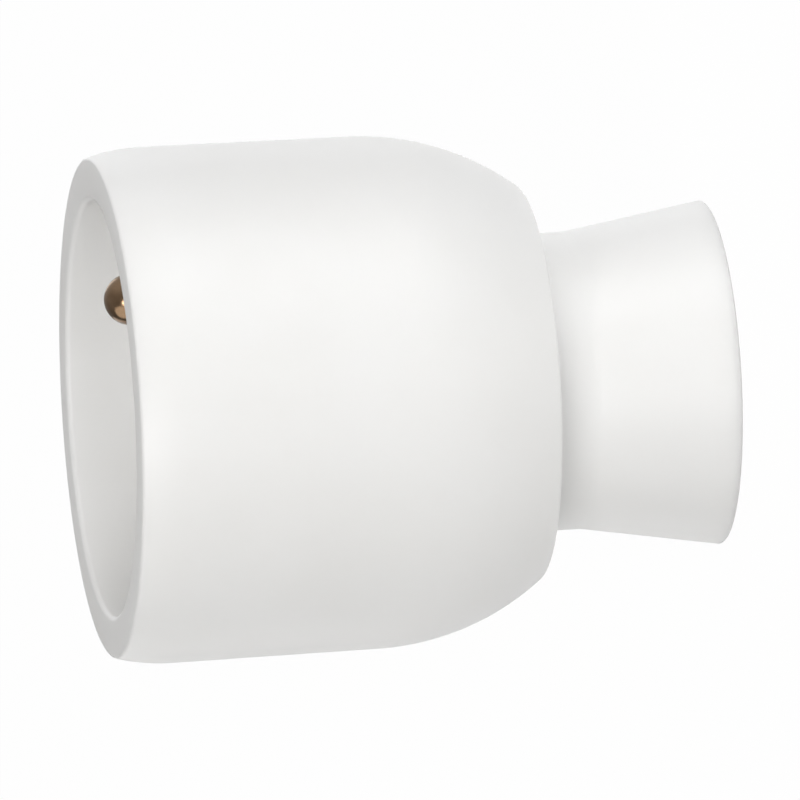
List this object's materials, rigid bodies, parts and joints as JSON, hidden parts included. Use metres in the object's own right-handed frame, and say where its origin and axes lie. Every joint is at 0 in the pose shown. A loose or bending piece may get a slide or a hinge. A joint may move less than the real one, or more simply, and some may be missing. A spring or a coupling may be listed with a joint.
{
  "type": "portable cable socket",
  "caption": "White bell-shaped cable socket with a deep round well, a brass earth pin, shuttered contact holes and a flared tail around the cord clamp.",
  "frame": {"origin": "centre of the end of the flared tail, on which the socket stands", "axes": "+Z along the axis from the tail to the mouth, X through the two contact holes, +Y towards the earth pin"},
  "size_m": [0.0484, 0.0484, 0.058],
  "materials": {
    "white_moulding": "satin white thermoplastic",
    "carrier_moulding": "fine matt, pale grey",
    "shutter_moulding": "smooth, off-white",
    "contact_brass": "bright turned",
    "earth_brass": "turned, slightly browned",
    "spring_steel": "bright drawn wire",
    "zinc_steel": "zinc plated",
    "retainer_nylon": "natural black nylon"
  },
  "bodies": {
    "socket": {"hood": "white_moulding", "socket_face": "white_moulding", "contact_carrier": "carrier_moulding", "shutter_spring": "spring_steel", "live_contact": "contact_brass", "neutral_contact": "contact_brass", "live_pressure_ring": "spring_steel", "neutral_pressure_ring": "spring_steel", "live_terminal_screw": "zinc_steel", "neutral_terminal_screw": "zinc_steel", "earth_terminal_screw": "zinc_steel", "earth_pin": "earth_brass", "cord_clamp_base": "carrier_moulding", "cord_clamp_bar": "carrier_moulding", "cord_clamp_screws": "zinc_steel", "cord_clamp_nuts": "zinc_steel", "insert_screws": "zinc_steel", "hood_screw": "zinc_steel", "hood_screw_retainer": "retainer_nylon", "hood_nut": "zinc_steel"},
    "shutter": {"shutter": "shutter_moulding"}
  },
  "joints": [
    {"name": "shutter_slide", "type": "slide", "parent": "socket", "child": "shutter", "axis": [0, -1, 0], "range_m": [0, 0.0066], "stiffness_N_per_m": 120, "springref_m": -0.003, "deforming": ["shutter_spring"]}
  ]
}
